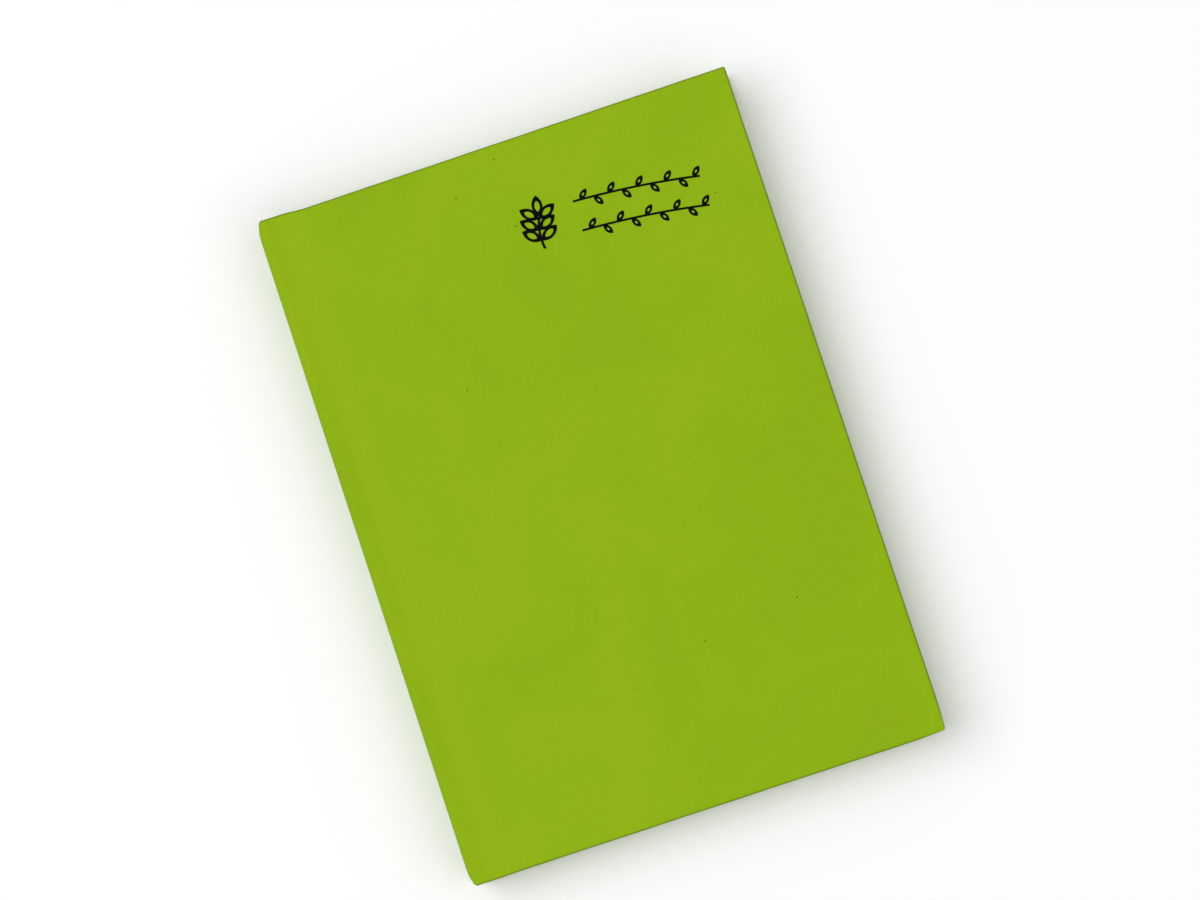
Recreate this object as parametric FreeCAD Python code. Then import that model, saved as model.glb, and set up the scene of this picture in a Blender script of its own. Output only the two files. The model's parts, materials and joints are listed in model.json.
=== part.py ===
import FreeCAD, Part
import math
import os

# A pocket notebook with a hard case and a sewn text block, closed, lying on its back cover.
# X runs from the spine to the fore edge, Y from tail to head and Z up. The origin is the middle
# of the underside. Distances named "from the spine" start at the outer face of the spine.

Vector = FreeCAD.Vector

# Case
cover_width = 105.5  # outer face of the spine to the fore edge
board_height = 148.0  # a covered board, tail to head
spine_past_head = 0.4  # how far the spine stands past the boards at the head
spine_past_tail = 0.1
board_thickness = 2.0
board_corner_radius = 0.9
cloth_thickness = 0.3
cloth_edge_radius = 0.25
turn_in = 12.0  # cloth folded over onto the inside of a board
spine_board_thickness = 1.0
spine_turn_in = 11.0
shoulder_radius = 1.9  # outer edge of the spine, seen along the spine
spine_corner_radius = 2.0  # corner of the spine, seen from above

# Joints between the spine and the boards
joint_from_spine = 4.4
groove_depth = 0.8
joint_gap = 0.25  # from the joint's axis to each cloth edge beside it
flat_open_clearance = 0.2  # between the spine and the edge of a board opened flat
joint_strip_clearance = 0.3  # between the joint's cloth and the edge of the board

# Text block
square = 3.0  # how far the boards stand past the pages
section_count = 6
section_thickness = 1.45
leaf_thickness = 0.1
leaf_gap = 0.03  # air between two leaves that turn
first_turning_leaves = 6
last_turning_leaves = 2
endpaper_thickness = 0.15
pages_clearance = 0.04  # between a cover and the text block
gutter_clearance = 0.1  # between the part of a leaf that turns and the part held by the sewing
page_corner_radius = 0.5

# Spine of the text block
spine_hollow = 0.55
liner_thickness = 0.15
mull_thickness = 0.2
mull_from_head = 9.0  # the mull stops this far from the head and tail of the pages
mull_flap = 15.0  # width of mull glued to the inside of a board
mull_flap_thickness = 0.1
band_bead_radius = 0.5
band_tape_height = 7.0
thread_radius = 0.2
kettle_radius = 0.25
kerf_clearance = 0.05
sewing_stations = 5
first_station_from_head = 14.0

# Printed ornament on the front cover
ink_thickness = 0.05
sprig_line = 0.56
vine_line = 0.46
print_tilt = -7.2
sprig_from_spine = 58.0
sprig_from_head = 19.0
sprig_stem = 11.5
sprig_bow = 0.5
sprig_pairs = 3
sprig_leaf_length = 4.6
sprig_leaf_width = 2.3
sprig_leaf_angle = 55  # between the stem and a leaf
sprig_pair_place = 0.8  # share of each third of the stem that lies below its pair
vine_from_spine = 79.6
vine_rows_from_head = (18.8, 25.3)
vine_length = 27.5
vine_bow = 0.5
vine_leaves = 9
vine_leaf_length = 2.7
vine_leaf_width = 1.35
vine_leaf_angle = 50

# Worked out from the sizes above
cover_stack = cloth_thickness + board_thickness + endpaper_thickness
block_thickness = section_count * section_thickness + 2 * endpaper_thickness
total_thickness = block_thickness + 2 * (cover_stack + pages_clearance)
total_height = board_height + spine_past_head + spine_past_tail
spine_head = total_height / 2
spine_tail = -total_height / 2
board_head = spine_head - spine_past_head
board_tail = spine_tail + spine_past_tail
page_head = board_head - square
page_tail = board_tail + square
fore_edge = cover_width
page_fore_edge = fore_edge - square
board_start = 2 * joint_from_spine + flat_open_clearance
leaf_start = board_start + 2 * gutter_clearance
gutter_end = leaf_start - gutter_clearance
joint_height = total_thickness - groove_depth - cloth_thickness / 2
hollow_start = cloth_thickness + spine_board_thickness
liner_start = hollow_start + spine_hollow
mull_start = liner_start + liner_thickness
block_start = mull_start + mull_thickness
block_top = total_thickness - cover_stack - pages_clearance
sections_top = block_top - endpaper_thickness
leaf_pitch = leaf_thickness + leaf_gap
sewing_line = block_start + 2 * kettle_radius


def slab(from_spine, along, levels):
    """A box between two distances from the spine, two Y values and two Z values."""
    corner = Vector(from_spine[0] - cover_width / 2, along[0], levels[0])
    return Part.makeBox(
        from_spine[1] - from_spine[0],
        along[1] - along[0],
        levels[1] - levels[0],
        corner,
    )


def mirrored(shape):
    """The same piece on the back cover."""
    return shape.mirror(Vector(0, 0, total_thickness / 2), Vector(0, 0, 1))


def point(from_spine, level, along=0.0):
    return Vector(from_spine - cover_width / 2, along, level)


def rounded(shape, radius, chosen):
    """The shape with a round on each of its edges that the chosen test picks."""
    edges = [edge for edge in shape.Edges if chosen(edge)]
    return shape.makeFillet(radius, edges)


def is_upright_at(edge, from_spine):
    """True for an edge parallel to Z at this distance from the spine."""
    ends = [vertex.Point for vertex in edge.Vertexes]
    wanted = from_spine - cover_width / 2
    flat = all(abs(end.x - wanted) < 1e-6 for end in ends)
    return flat and abs(ends[0].y - ends[-1].y) < 1e-6


def ribbon(start, heading, steps, along):
    """A strip of cloth seen along the spine: runs and turns of its middle line, then extruded.

    Each step is a length to run straight, or a pair of a radius and an angle to turn, in degrees
    and positive to the left.
    """
    half = cloth_thickness / 2
    place, angle = start, math.radians(heading)
    left_edges, right_edges = [], []

    def beside(centre, direction, offset):
        return centre + Vector(-math.sin(direction), 0, math.cos(direction)) * offset

    first_left = beside(place, angle, half)
    first_right = beside(place, angle, -half)
    for step in steps:
        if isinstance(step, tuple):
            radius, turn = step[0], math.radians(step[1])
            side = math.copysign(radius, turn)
            centre = beside(place, angle, side)
            middle = angle + turn / 2
            end = angle + turn
            for offset, edges in ((half, left_edges), (-half, right_edges)):
                points = [beside(centre, a, offset - side) for a in (angle, middle, end)]
                edges.append(Part.Arc(*points).toShape())
            place, angle = beside(centre, end, -side), end
        else:
            ahead = Vector(math.cos(angle), 0, math.sin(angle)) * step
            for offset, edges in ((half, left_edges), (-half, right_edges)):
                near = beside(place, angle, offset)
                edges.append(Part.LineSegment(near, near + ahead).toShape())
            place = place + ahead
    last_left = beside(place, angle, half)
    last_right = beside(place, angle, -half)
    closing = [
        Part.LineSegment(first_left, first_right).toShape(),
        Part.LineSegment(last_left, last_right).toShape(),
    ]
    edges = Part.__sortEdges__(left_edges + right_edges + closing)
    face = Part.Face(Part.Wire(edges))
    face.translate(Vector(0, along[0], 0))
    return face.extrude(Vector(0, along[1] - along[0], 0))


def s_bend(across, rise, side):
    """Two equal turns that shift a strip sideways by rise while it runs across."""
    angle = 2 * math.atan(rise / across)
    radius = across / 2 / math.sin(angle)
    turn = side * math.degrees(angle)
    return [(radius, turn), (radius, -turn)]


# Case


def board():
    """The front board, thinned at three margins for the turned-in cloth that is pressed into it."""
    inner_face = total_thickness - cloth_thickness - board_thickness
    outer_face = total_thickness - cloth_thickness
    edges = (board_start, fore_edge - cloth_thickness)
    ends = (board_tail + cloth_thickness, board_head - cloth_thickness)
    shape = slab(edges, ends, (inner_face, outer_face))
    corner = board_corner_radius - cloth_thickness
    shape = rounded(shape, corner, lambda edge: is_upright_at(edge, edges[1]))
    margin = turn_in - cloth_thickness
    whole = slab(edges, ends, (inner_face, inner_face + cloth_thickness))
    kept = slab(
        (board_start, edges[1] - margin),
        (ends[0] + margin, ends[1] - margin),
        (inner_face, inner_face + cloth_thickness),
    )
    return shape.cut(whole.cut(kept)).cut(mull_flap_piece())


def cover_cloth(covered_board):
    """Cloth over the outer face of a board, round its three free edges and onto its inner face."""
    inner_face = total_thickness - cloth_thickness - board_thickness
    envelope = slab(
        (board_start, fore_edge),
        (board_tail, board_head),
        (inner_face, total_thickness),
    )
    envelope = rounded(
        envelope, board_corner_radius, lambda edge: is_upright_at(edge, fore_edge)
    )
    low_x = board_start - cover_width / 2

    def on_top_rim(edge):
        box = edge.BoundBox
        at_top = box.ZMin > total_thickness - 1e-6
        return at_top and box.XMax > low_x + 1e-6

    envelope = rounded(envelope, cloth_edge_radius, on_top_rim)
    return envelope.cut(covered_board).cut(mull_flap_piece())


def mull_flap_piece():
    """The part of the mull glued to the inside of the front board, which is pressed in for it."""
    inner_face = total_thickness - cloth_thickness - board_thickness
    return slab(
        (board_start, board_start + mull_flap),
        (page_tail + mull_from_head, page_head - mull_from_head),
        (inner_face, inner_face + mull_flap_thickness),
    )


def pastedown():
    """The endpaper glued to the inside of the front cover."""
    inner_face = total_thickness - cloth_thickness - board_thickness
    return slab(
        (board_start, page_fore_edge),
        (page_tail, page_head),
        (inner_face - endpaper_thickness, inner_face),
    )


def joint_cloth():
    """The cloth of the front joint, from the bottom of the groove up to the board."""
    start = point(joint_from_spine + joint_gap, joint_height)
    reach = board_start - joint_from_spine - joint_gap - joint_strip_clearance
    steps = s_bend(reach, groove_depth, 1)
    return ribbon(start, 0, steps, (board_tail, board_head))


def spine_outline(inset):
    """The spine seen from above with its two rounded corners, made smaller all round by inset."""
    ends = (spine_tail + inset, spine_head - inset)
    shape = slab((inset, joint_from_spine), ends, (0, total_thickness))
    corner = spine_corner_radius - inset
    return rounded(shape, corner, lambda edge: is_upright_at(edge, inset))


def spine_board():
    """The stiff strip inside the spine."""
    levels = (shoulder_radius, total_thickness - shoulder_radius)
    shape = slab((cloth_thickness, hollow_start), (spine_tail, spine_head), levels)
    return shape.common(spine_outline(cloth_thickness))


def spine_cloth():
    """The cloth round the spine, from the bottom of one groove to the bottom of the other."""
    middle_radius = shoulder_radius - cloth_thickness / 2
    slope = joint_from_spine - joint_gap - shoulder_radius
    start = point(joint_from_spine - joint_gap, joint_height)
    steps = [
        *s_bend(slope, groove_depth, -1),
        (middle_radius, 90),
        total_thickness - 2 * shoulder_radius,
        (middle_radius, 90),
        *s_bend(slope, groove_depth, 1),
    ]
    shape = ribbon(start, 180, steps, (spine_tail, spine_head))
    shape = shape.common(spine_outline(0))
    levels = (shoulder_radius, total_thickness - shoulder_radius)
    flap_end = hollow_start + cloth_thickness
    wrap = spine_outline(0).cut(spine_outline(cloth_thickness))
    shape = shape.fuse(wrap.common(slab((0, flap_end), (spine_tail, spine_head), levels)))
    for end, inward in ((spine_head, -1), (spine_tail, 1)):
        flap = sorted((end + inward * cloth_thickness, end + inward * spine_turn_in))
        shape = shape.fuse(slab((hollow_start, flap_end), flap, levels))
    return shape.removeSplitter()


# Text block


def section_levels(number):
    """Lowest and highest level of a section, counted from the front."""
    top = sections_top - number * section_thickness
    return top - section_thickness, top


def station_places():
    """Y of each sewing station."""
    first = page_head - first_station_from_head
    last = page_tail + first_station_from_head
    step = (last - first) / (sewing_stations - 1)
    return [first + step * count for count in range(sewing_stations)]


def section(number):
    """Folded leaves as one solid with a round back, kerfs, and a channel along the fold."""
    low, high = section_levels(number)
    half = section_thickness / 2
    middle = (low + high) / 2
    round_centre = block_start + half
    corners = [
        point(round_centre, low),
        point(page_fore_edge, low),
        point(page_fore_edge, high),
        point(round_centre, high),
    ]
    lines = [
        Part.LineSegment(corners[i], corners[i + 1]).toShape() for i in range(3)
    ]
    back = Part.Arc(corners[3], point(block_start, middle), corners[0]).toShape()
    face = Part.Face(Part.Wire(lines + [back]))
    face.translate(Vector(0, page_tail, 0))
    shape = face.extrude(Vector(0, page_head - page_tail, 0))
    shape = rounded(
        shape, page_corner_radius, lambda edge: is_upright_at(edge, page_fore_edge)
    )
    kerf = kettle_radius + kerf_clearance
    for place in station_places():
        shape = shape.cut(
            slab(
                (block_start, sewing_line + kerf),
                (place - kerf, place + kerf),
                (low, high),
            )
        )
    return shape.cut(fold_run(middle))


def fold_run(level):
    """The thread inside a section, lying along its fold between the end stations."""
    places = station_places()
    start = point(sewing_line, level, places[-1])
    return Part.makeCylinder(
        thread_radius, places[0] - places[-1], start, Vector(0, 1, 0)
    )


def sewing_thread():
    """One thread: a run in the fold of each section, linked across the backs at each station."""
    first_low, first_high = section_levels(0)
    last_low, last_high = section_levels(section_count - 1)
    bottom = (last_low + last_high) / 2 - kettle_radius
    top = (first_low + first_high) / 2 + kettle_radius
    runs = []
    for number in range(section_count):
        low, high = section_levels(number)
        runs.append(fold_run((low + high) / 2))
    links = []
    for place in station_places():
        start = point(sewing_line, bottom, place)
        links.append(
            Part.makeCylinder(kettle_radius, top - bottom, start, Vector(0, 0, 1))
        )
    return links[0].fuse(links[1:] + runs)


def leaf(top, thickness):
    """The turning part of one leaf, from the gutter to the fore edge."""
    shape = slab(
        (leaf_start, page_fore_edge), (page_tail, page_head), (top - thickness, top)
    )
    return rounded(
        shape, page_corner_radius, lambda edge: is_upright_at(edge, page_fore_edge)
    )


def leaf_top(number):
    """Top of a turning leaf, counted from 0 at the endpaper."""
    return sections_top - leaf_gap - number * leaf_pitch


def room_for_leaves(count):
    """The space that the turning leaves of one cover take out of the nearest section."""
    floor = sections_top - leaf_gap - count * leaf_pitch
    return slab(
        (gutter_end, fore_edge), (board_tail, board_head), (floor, block_top)
    )


def endpaper_guard():
    """The folded edge of the front endpaper, held to the first section."""
    return slab(
        (block_start + section_thickness / 2, gutter_end),
        (page_tail, page_head),
        (sections_top, block_top),
    )


def mull():
    """Open cloth glued over the backs of the sections."""
    half = block_thickness / 2
    middle = total_thickness / 2
    return slab(
        (mull_start, block_start),
        (page_tail + mull_from_head, page_head - mull_from_head),
        (middle - half, middle + half),
    )


def spine_liner():
    """Paper glued over the mull and the tapes of the two bands."""
    half = block_thickness / 2
    middle = total_thickness / 2
    return slab(
        (liner_start, mull_start), (page_tail, page_head), (middle - half, middle + half)
    )


def band(end, inward):
    """A head or tail band: a bead over the ends of the sections, on a tape glued down."""
    half = block_thickness / 2
    low = total_thickness / 2 - half
    centre = end - inward * band_bead_radius
    start = point(mull_start + band_bead_radius, low, centre)
    bead = Part.makeCylinder(
        band_bead_radius, block_thickness, start, Vector(0, 0, 1)
    )
    reach = sorted((centre, end + inward * band_tape_height))
    tape = slab((mull_start, block_start), reach, (low, low + block_thickness))
    return bead.fuse(tape).removeSplitter()


# Printed ornament


def lens(centre, angle, length, width):
    """A face shaped like a leaf: two equal arcs that meet in points."""
    half = length / 2
    turn = FreeCAD.Rotation(Vector(0, 0, 1), angle)
    tips = [centre + turn.multVec(Vector(x, 0, 0)) for x in (-half, half)]
    sides = [centre + turn.multVec(Vector(0, y, 0)) for y in (width / 2, -width / 2)]
    arcs = [Part.Arc(tips[0], side, tips[1]).toShape() for side in sides]
    return Part.Face(Part.Wire(Part.__sortEdges__(arcs)))


def leaf_outline(foot, angle, length, width, line):
    """A leaf drawn in outline with a line of ink, growing from its foot."""
    ahead = FreeCAD.Rotation(Vector(0, 0, 1), angle).multVec(Vector(length / 2, 0, 0))
    centre = foot + ahead
    outer = lens(centre, angle, length, width)
    share = 1 - 2 * line / width
    inner = lens(centre, angle, length * share, width * share)
    return outer.cut(inner)


def stem(start, end, bow, line):
    """A line of ink that bows to the left of the way it runs."""
    along = end - start
    side = Vector(-along.y, along.x, 0).normalize()
    middle = (start + end) / 2 + side * bow
    half = side * (line / 2)
    left = Part.Arc(start + half, middle + half, end + half).toShape()
    right = Part.Arc(start - half, middle - half, end - half).toShape()
    caps = [
        Part.LineSegment(start - half, start + half).toShape(),
        Part.LineSegment(end - half, end + half).toShape(),
    ]
    return Part.Face(Part.Wire(Part.__sortEdges__([left, right] + caps)))


def stem_point(start, end, bow, share):
    """A point this share of the way along a bowed stem."""
    along = end - start
    side = Vector(-along.y, along.x, 0).normalize()
    return start + along * share + side * (4 * bow * share * (1 - share))


def ink(faces, from_spine, from_head):
    """Faces drawn round the origin, joined, thickened, tilted and laid on the front cover."""
    films = [face.extrude(Vector(0, 0, ink_thickness)) for face in faces]
    film = films[0].fuse(films[1:]).removeSplitter()
    film.rotate(Vector(), Vector(0, 0, 1), print_tilt)
    film.translate(point(from_spine, total_thickness, board_head - from_head))
    return film


def sprig_print():
    """A bowed stem with pairs of leaves and one leaf at its tip."""
    foot = Vector(0, -sprig_stem / 2, 0)
    tip = Vector(0, sprig_stem / 2 - sprig_leaf_length, 0)
    leaf_size = (sprig_leaf_length, sprig_leaf_width)
    faces = [
        stem(foot, tip, sprig_bow, sprig_line),
        leaf_outline(tip, 90, *leaf_size, sprig_line),
    ]
    for pair in range(sprig_pairs):
        share = (pair + sprig_pair_place) / sprig_pairs
        node = stem_point(foot, tip, sprig_bow, share)
        for turn in (-sprig_leaf_angle, sprig_leaf_angle):
            faces.append(leaf_outline(node, 90 + turn, *leaf_size, sprig_line))
    return ink(faces, sprig_from_spine, sprig_from_head)


def vine_print():
    """Two level stems with small leaves above and below them in turn."""
    rows = []
    leaf_size = (vine_leaf_length, vine_leaf_width)
    for from_head in vine_rows_from_head:
        start = Vector(-vine_length / 2, 0, 0)
        end = Vector(vine_length / 2, 0, 0)
        faces = [stem(start, end, vine_bow, vine_line)]
        for count in range(vine_leaves):
            node = stem_point(start, end, vine_bow, (count + 0.5) / vine_leaves)
            turn = vine_leaf_angle * (-1) ** count
            faces.append(leaf_outline(node, turn, *leaf_size, vine_line))
        rows.append(ink(faces, vine_from_spine, from_head))
    return Part.makeCompound(rows)


def all_pieces():
    """Every piece by name."""
    front = board()
    pieces = {
        "front_board": front,
        "front_cloth": cover_cloth(front),
        "front_mull_flap": mull_flap_piece(),
        "front_pastedown": pastedown(),
        "front_joint_cloth": joint_cloth(),
        "front_flyleaf": leaf(block_top, endpaper_thickness),
        "front_endpaper_guard": endpaper_guard(),
    }
    for name in list(pieces):
        pieces[name.replace("front", "back")] = mirrored(pieces[name])
    for number in range(first_turning_leaves):
        pieces[f"leaf_{number + 1}"] = leaf(leaf_top(number), leaf_thickness)
    for number in range(last_turning_leaves):
        shape = leaf(leaf_top(number), leaf_thickness)
        pieces[f"last_leaf_{number + 1}"] = mirrored(shape)
    for number in range(section_count):
        pieces[f"section_{number + 1}"] = section(number)
    first, last = "section_1", f"section_{section_count}"
    pieces[first] = pieces[first].cut(room_for_leaves(first_turning_leaves))
    pieces[last] = pieces[last].cut(mirrored(room_for_leaves(last_turning_leaves)))
    pieces["sewing_thread"] = sewing_thread()
    pieces["mull"] = mull()
    pieces["spine_liner"] = spine_liner()
    pieces["headband"] = band(page_head, -1)
    pieces["tailband"] = band(page_tail, 1)
    pieces["spine_board"] = spine_board()
    pieces["spine_cloth"] = spine_cloth()
    pieces["sprig_print"] = sprig_print()
    pieces["vine_print"] = vine_print()
    return pieces


os.makedirs("parts", exist_ok=True)
for name, shape in all_pieces().items():
    shape.exportStep(f"parts/{name}.step")
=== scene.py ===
"""Pocket notebook: a sewn text block in a soft-grooved case, with a printed sprig on the front."""

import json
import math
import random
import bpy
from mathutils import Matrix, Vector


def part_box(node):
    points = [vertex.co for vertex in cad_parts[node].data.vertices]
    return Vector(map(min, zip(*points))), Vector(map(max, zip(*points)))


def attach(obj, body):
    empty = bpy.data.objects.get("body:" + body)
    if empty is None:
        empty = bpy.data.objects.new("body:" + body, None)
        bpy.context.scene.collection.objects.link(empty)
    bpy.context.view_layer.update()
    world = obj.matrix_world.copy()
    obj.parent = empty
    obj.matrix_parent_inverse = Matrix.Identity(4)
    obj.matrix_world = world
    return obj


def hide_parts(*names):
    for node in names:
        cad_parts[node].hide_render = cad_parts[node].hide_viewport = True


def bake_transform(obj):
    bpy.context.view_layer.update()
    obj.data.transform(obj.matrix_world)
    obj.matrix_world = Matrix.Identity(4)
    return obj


bl_info = {
    "name": "Pocket notebook",
    "version": (1, 0, 0),
    "blender": (4, 5, 0),
    "location": "3D View > Sidebar > Notebook",
    "description": "Covers, pages and prints a casebound pocket notebook around its frame",
    "category": "Object",
}

import bmesh
import bpy
from bpy.props import FloatProperty, FloatVectorProperty, IntProperty, PointerProperty
from bpy.types import Operator, Panel, PropertyGroup
from mathutils import Matrix, Vector, noise

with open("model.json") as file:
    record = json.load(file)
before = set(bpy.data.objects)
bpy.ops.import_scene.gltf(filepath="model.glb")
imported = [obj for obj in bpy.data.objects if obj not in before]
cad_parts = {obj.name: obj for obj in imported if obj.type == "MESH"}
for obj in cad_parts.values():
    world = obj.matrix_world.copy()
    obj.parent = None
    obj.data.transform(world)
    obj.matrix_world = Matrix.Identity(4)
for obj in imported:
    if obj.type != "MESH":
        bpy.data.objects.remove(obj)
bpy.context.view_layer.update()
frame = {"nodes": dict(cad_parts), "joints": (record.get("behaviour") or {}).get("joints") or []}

MM = 0.001
HAIR = 1e-7  # closer than this, two points are one
SHARP = math.radians(40)  # faces that meet at more than this show an edge

# How many faces go round or along a curved stretch
CORNER_FACES = 8  # a corner of a board
RIM_FACES = 4  # the rim of a board
LEAF_CORNER_FACES = 4  # a trimmed corner of a leaf
FOLD_FACES = 8  # the fold of a sewn sheet
BEND_FACES = 24  # a leaf where it bends at the joint or gutter
SHOULDER_FACES = 10  # the cloth round the shoulder
GROOVE_FACES = 40  # the cloth over the groove
WINDING_FACES = 4  # one winding of a band

# Seeds of the random draws
ENDPAPER_SEED = 3
LEAF_SEED = 7
SECTION_SEED = 11

# Places read from the frame. X runs from the spine to the fore edge, Y to the head, Z up.
SPINE_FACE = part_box("spine_cloth")[0].x
SPINE_TAIL, SPINE_HEAD = (corner.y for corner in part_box("spine_cloth"))
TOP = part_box("spine_cloth")[1].z
MIDDLE = TOP / 2
FORE_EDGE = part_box("front_cloth")[1].x
BOARD_TAIL, BOARD_HEAD = (corner.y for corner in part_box("front_cloth"))
BOARD_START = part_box("front_board")[0].x
BOARD_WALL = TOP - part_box("front_cloth")[0].z
SPINE_BOARD_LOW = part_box("spine_board")[0].z
PAGE_TAIL, PAGE_HEAD = (corner.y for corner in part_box("section_2"))
PAGE_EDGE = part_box("section_2")[1].x
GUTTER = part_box("front_endpaper_guard")[0].x
JOINT = Vector(next(j["pos_m"] for j in frame["joints"] if j["name"] == "front_cover_hinge"))

SIDES = ("front", "back")
FRONT_LEAVES = [name for name in sorted(frame["nodes"]) if name.startswith("leaf_")]
LAST_LEAVES = [name for name in sorted(frame["nodes"]) if name.startswith("last_leaf_")]
SECTIONS = [name for name in sorted(frame["nodes"]) if name.startswith("section_")]


# Sizes and colours that can be set


def size(name, description, default):
    """A length that can be set, in metres."""
    return FloatProperty(name=name, description=description, default=default, unit="LENGTH", precision=5)


def colour(name, description, default):
    """A colour that can be set, in linear light."""
    return FloatVectorProperty(
        name=name, description=description, default=default, size=3, subtype="COLOR", min=0, max=1
    )


def power(name, description, default):
    """The power of a light that can be set, in watts."""
    return FloatProperty(name=name, description=description, default=default, unit="POWER")


class CaseSettings(PropertyGroup):
    """The covered boards and the cloth over them."""

    cloth: size("Cloth thickness", "Thickness of the covering material", 0.28 * MM)
    turn_in: size("Turn-in", "Width of the cloth turned over onto the inside of a board", 12 * MM)
    corner: size("Board corner", "Radius of a board's corner, seen from above", 0.45 * MM)
    rim: size("Board rim", "Radius of the cloth over the edge of a board", 0.38 * MM)
    shoulder: size("Shoulder", "Radius of the cloth where it rolls onto the spine", 1.9 * MM)
    corner_across: size("Spine corner across", "Its rounding, measured along the head", 1.5 * MM)
    corner_along: size("Spine corner along", "Its rounding, measured along the spine", 3.6 * MM)
    spine_wall: size("Spine wall", "Cloth, spine board and turned-in cloth together", 1.6 * MM)
    joint_wall: size("Joint wall", "Cloth and turned-in cloth in the groove", 0.62 * MM)
    groove: size("Groove depth", "Depth of the joint groove", 0.38 * MM)
    groove_start: size("Groove start", "Where the cloth begins to sink, from the spine", 1.2 * MM)
    groove_floor: size("Groove floor", "Where the groove is deepest, from the spine", 5.0 * MM)
    groove_end: size("Groove end", "Where the cloth is level with the board again", 10.5 * MM)
    step_start: size("Head step start", "Where the spine's longer edge begins to step back", 5.5 * MM)
    step_end: size("Head step end", "Where the edge has stepped back to the board", 11.5 * MM)
    # Painted highlight: a lighter band over the groove, where its far slope faces the key light.
    highlight_past: size("Highlight past", "How far past the groove its colour reaches", 2 * MM)
    wear: size("Worn corner", "How far the lower fore corner is rubbed back", 0.24 * MM)
    wear_reach: size("Worn length", "How far from the corner the rubbing reaches", 8 * MM)
    ripple: size("Edge ripple", "Unevenness of the turned edges", 0.05 * MM)
    cloth_colour: colour("Cloth", "Colour of the covering material", (0.266, 0.440, 0.003))
    shade_colour: colour("Cloth shade", "Its colour in the darker clouds", (0.246, 0.411, 0.003))
    # Painted highlight: the colour of the lighter band over the groove's far slope.
    groove_highlight_colour: colour("Cloth, painted highlight", "Its colour over the groove", (0.269, 0.433, 0.003))
    # Painted shade: the darker colour on the rolled rims, which turn away from the light.
    rim_shade_colour: colour("Cloth, painted rim shade", "Its colour on the rims", (0.095, 0.155, 0.002))
    # Painted shade: the darker colour down in the pits of the grain.
    pit_shade_colour: colour("Cloth, pit shade", "Its colour down in the grain", (0.150, 0.245, 0.002))
    speck_colour: colour("Specks", "Colour of the specks on the cloth", (0.05, 0.08, 0.004))
    board_colour: colour("Board", "Colour of the bare binder's board", (0.33, 0.28, 0.21))
    fleck_colour: colour("Board flecks", "Colour of the waste paper in the board", (0.5, 0.46, 0.38))
    ink_colour: colour("Ink", "Colour of the printed ornament", (0.0006, 0.0008, 0.0006))
    worn_ink_colour: colour("Ink, worn", "Its colour in the pits of the grain", (0.004, 0.006, 0.001))


class PaperSettings(PropertyGroup):
    """Endpapers, turning leaves and sewn sections."""

    gutter_bend: size("Gutter bend", "Length over which a turning leaf bends at the gutter", 4.8 * MM)
    page_corner: size("Page corner", "Radius of the trimmed corners of the leaves", 0.5 * MM)
    sheet: size("Sheet", "Thickness of one sewn sheet", 0.08 * MM)
    pitch: size("Sheet pitch", "Room that one sheet takes in a section", 0.0906 * MM)
    trim: size("Trim", "How unevenly the edges of the leaves were trimmed", 0.035 * MM)
    thread_room: size("Thread room", "Radius kept free round the thread in a fold", 0.26 * MM)
    ridge: size("Turn-in ridge", "How far the turned-in cloth shows through a pastedown", 0.07 * MM)
    page_colour: colour("Page", "Colour of the pages", (0.84, 0.80, 0.69))
    endpaper_colour: colour("Endpaper", "Colour of the endpapers", (0.80, 0.78, 0.71))


class BandSettings(PropertyGroup):
    """Head band, tail band, and what holds the sections together."""

    winding: size("Winding", "Length of one winding of the band's thread", 0.45 * MM)
    relief: size("Winding relief", "How far the band dips between two windings", 0.06 * MM)
    tape: size("Tape", "Thickness of the tape that a band is wound on", 0.2 * MM)
    around: IntProperty(
        name="Bead sides", description="Faces round the bead of a band", default=16, min=8
    )
    band_colour: colour("Band", "Colour of the band's coloured threads", (0.16, 0.33, 0.01))
    pale_colour: colour("Band, pale", "Colour of the band's pale threads", (0.78, 0.74, 0.60))
    shaded_colour: colour("Band, shaded", "Colour between the fibres", (0.05, 0.06, 0.02))
    liner_colour: colour("Liner", "Colour of the paper glued over the back", (0.40, 0.28, 0.16))
    mull_colour: colour("Mull", "Colour of the open cloth over the back", (0.72, 0.69, 0.58))
    thread_colour: colour("Thread", "Colour of the waxed sewing thread", (0.80, 0.76, 0.64))


class StageSettings(PropertyGroup):
    """Table, lights and camera."""

    floor_side: size("Table", "Side of the table top", 4.0)
    floor_colour: colour("Table", "Colour of the table top", (0.93, 0.93, 0.93))
    key_power: power("Key light", "Power of the light from the left", 10.2)
    key_side: size("Key light side", "Side of the light from the left", 1.1)
    fill_power: power("Fill light", "Power of the light from the right", 4.9)
    fill_side: size("Fill light side", "Side of the light from the right", 1.2)
    sky: FloatProperty(
        name="Room light", description="Strength of the even light from all round", default=0.55
    )


# Mesh helpers


def start_mesh():
    """An empty mesh to work on."""
    return bmesh.new()


def all_of(bm):
    """Everything in the mesh, as the cutting operators take it."""
    return [*bm.verts, *bm.edges, *bm.faces]


def cut(bm, axis, places):
    """Cuts across the whole mesh at each place along an axis."""
    normal = Vector((0, 0, 0))
    normal[axis] = 1
    for place in places:
        bmesh.ops.bisect_plane(bm, geom=all_of(bm), dist=HAIR, plane_co=normal * place, plane_no=normal)


def spread(start, end, count):
    """Evenly spaced places from start to end, both included."""
    return [start + (end - start) * step / count for step in range(count + 1)]


def ease(value, start, end):
    """0 before start, 1 after end, and a smooth rise between them."""
    share = min(1.0, max(0.0, (value - start) / (end - start)))
    return share * share * (3 - 2 * share)


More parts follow.
